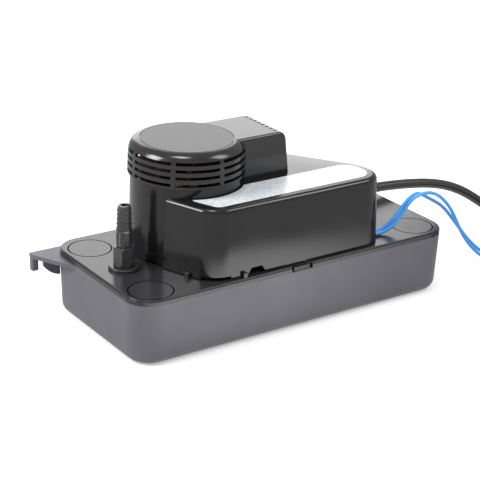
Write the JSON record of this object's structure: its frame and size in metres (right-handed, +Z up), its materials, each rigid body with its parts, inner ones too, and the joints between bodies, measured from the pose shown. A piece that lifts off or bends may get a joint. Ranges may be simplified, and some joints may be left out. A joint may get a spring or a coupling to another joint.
{
  "type": "condensate pump",
  "caption": "Tank-type condensate removal pump: low rectangular reservoir with hanging ears, motor cover with vented cap and side duct, barbed check valve, cord and alarm leads.",
  "frame": {"origin": "middle of the tank's underside, on the surface the pump stands on", "axes": "+X along the tank towards the end with the cord, +Y towards the side with the hanging ears, +Z up"},
  "size_m": [0.4943, 0.191, 0.136],
  "materials": {
    "tank_plastic": "moulded ABS, charcoal, fine satin texture",
    "deck_plastic": "moulded ABS, near-black, semi-gloss",
    "plug_plastic": "moulded ABS, near-black, semi-gloss",
    "cover_plastic": "moulded ABS, black, high gloss",
    "cap_plastic": "moulded ABS, black, gloss",
    "plate_film": "bare white film",
    "core_steel": "stacked laminations, oiled",
    "bobbin_plastic": "natural nylon",
    "coil_wire": "enamelled winding under varnish",
    "rotor_aluminium": "die-cast squirrel cage",
    "shaft_steel": "ground steel",
    "bracket_aluminium": "die-cast",
    "bearing_bronze": "sintered bronze",
    "bolt_steel": "zinc-plated",
    "fan_plastic": "moulded, brick red",
    "pump_plastic": "moulded ABS, black",
    "screw_stainless": "stainless",
    "impeller_plastic": "moulded, dark grey",
    "pipe_plastic": "moulded elbow, black",
    "valve_plastic": "moulded, black",
    "barb_plastic": "moulded, black",
    "ball_rubber": "nitrile",
    "spring_steel": "stainless wire",
    "seal_rubber": "black rubber",
    "float_foam": "closed-cell foam, pale",
    "rod_plastic": "natural acetal",
    "lever_plastic": "natural acetal",
    "bracket_plastic": "moulded, black",
    "switch_plastic": "moulded phenolic, black",
    "plunger_plastic": "moulded, red",
    "cord_pvc": "PVC jacket, black, soft gloss",
    "blade_brass": "nickel-free brass",
    "lead_pvc": "PVC insulation, blue",
    "copper": "tinned-free stranded copper"
  },
  "bodies": {
    "frame": {"tank": "tank_plastic", "deck": "deck_plastic", "motor_cover": "cover_plastic", "vent_cap": "cap_plastic", "info_plate": "plate_film", "stator_core": "core_steel", "coil_bobbin": "bobbin_plastic", "motor_coil": "coil_wire", "upper_bracket": "bracket_aluminium", "lower_bracket": "bracket_aluminium", "upper_bearing": "bearing_bronze", "lower_bearing": "bearing_bronze", "motor_bolts": "bolt_steel", "core_spacers": "bolt_steel", "pump_column": "pump_plastic", "column_screws": "screw_stainless", "volute": "pump_plastic", "strainer_base": "pump_plastic", "volute_screws": "screw_stainless", "discharge_pipe": "pipe_plastic", "check_valve": "valve_plastic", "hose_barb": "barb_plastic", "valve_spring": "spring_steel", "valve_seal": "seal_rubber", "lever_pin": "screw_stainless", "switch_bracket": "bracket_plastic", "pump_switch": "switch_plastic", "overflow_switch": "switch_plastic", "switch_screws": "screw_stainless", "lead_grommet": "seal_rubber", "strain_relief": "cord_pvc", "power_cord": "cord_pvc", "power_cord_coil": "cord_pvc", "power_cord_tail": "cord_pvc", "plug_body": "cord_pvc", "plug_blades": "blade_brass", "safety_lead_a": "lead_pvc", "safety_lead_b": "lead_pvc", "lead_tips": "copper"},
    "rotating_set": {"rotor": "rotor_aluminium", "motor_shaft": "shaft_steel", "cooling_fan": "fan_plastic", "impeller": "impeller_plastic"},
    "float_set": {"tank_float": "float_foam", "float_rod": "rod_plastic"},
    "lever": {"switch_lever": "lever_plastic"},
    "pump_plunger": {"pump_plunger": "plunger_plastic"},
    "overflow_plunger": {"overflow_plunger": "plunger_plastic"},
    "valve_ball": {"valve_ball": "ball_rubber"},
    "inlet_plug_rear": {"inlet_plug_rear": "plug_plastic"},
    "inlet_plug_front": {"inlet_plug_front": "plug_plastic"},
    "inlet_plug_right": {"inlet_plug_right": "plug_plastic"}
  },
  "joints": [
    {"name": "rotor_spin", "type": "hinge", "parent": "frame", "child": "rotating_set", "pos_m": [-0.0575, 0.0085, 0.078], "axis": [0, 0, 1], "continuous": true},
    {"name": "float_slide", "type": "slide", "parent": "frame", "child": "float_set", "axis": [0, 0, 1], "range_m": [0, 0.015]},
    {"name": "lever_pivot", "type": "hinge", "parent": "frame", "child": "lever", "pos_m": [0.036, -0.03, 0.076], "axis": [0, 1, 0], "range_deg": [0, 31]},
    {"name": "pump_plunger_slide", "type": "slide", "parent": "frame", "child": "pump_plunger", "axis": [0, 0, -1], "range_m": [0, 0.0012]},
    {"name": "overflow_plunger_slide", "type": "slide", "parent": "frame", "child": "overflow_plunger", "axis": [0, 0, -1], "range_m": [0, 0.0012]},
    {"name": "valve_ball_slide", "type": "slide", "parent": "frame", "child": "valve_ball", "axis": [0, 0, 1], "range_m": [0, 0.003], "stiffness_N_per_m": 10, "deforming": ["valve_spring"]},
    {"name": "inlet_plug_rear_lift", "type": "slide", "parent": "frame", "child": "inlet_plug_rear", "axis": [0, 0, 1], "range_m": [0, 0.0065]},
    {"name": "inlet_plug_front_lift", "type": "slide", "parent": "frame", "child": "inlet_plug_front", "axis": [0, 0, 1], "range_m": [0, 0.0065]},
    {"name": "inlet_plug_right_lift", "type": "slide", "parent": "frame", "child": "inlet_plug_right", "axis": [0, 0, 1], "range_m": [0, 0.0065]}
  ],
  "couplings": [
    {"joint": "lever_pivot", "follows": "float_slide", "rad_per_m": 36},
    {"joint": "pump_plunger_slide", "follows": "float_slide", "ratio": 0.08},
    {"joint": "overflow_plunger_slide", "follows": "float_slide", "ratio": 0.08}
  ]
}
